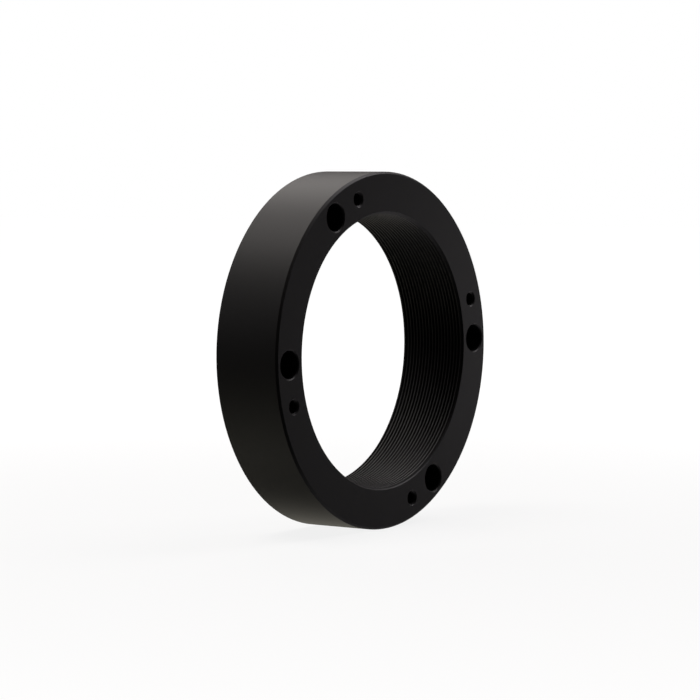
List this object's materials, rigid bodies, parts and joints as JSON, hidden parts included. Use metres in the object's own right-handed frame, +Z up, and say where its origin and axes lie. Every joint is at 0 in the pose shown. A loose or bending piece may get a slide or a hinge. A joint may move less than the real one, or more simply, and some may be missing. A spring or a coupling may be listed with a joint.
{
  "type": "threaded adapter ring",
  "caption": "Flat black ring with a fine internal thread through its bore, counterbored screw holes and small tapped holes around its face.",
  "frame": {"origin": "centre of the back face, on the ring's axis", "axes": "+Y along the ring's axis out of the back face, -Y out of the front face with the counterbores, +Z up with the ring standing on its rim"},
  "size_m": [0.0926, 0.0195, 0.0926],
  "materials": {
    "black_anodised_aluminium": "fine satin, black anodised"
  },
  "bodies": {
    "root": {"adapter_ring": "black_anodised_aluminium"}
  },
  "joints": []
}
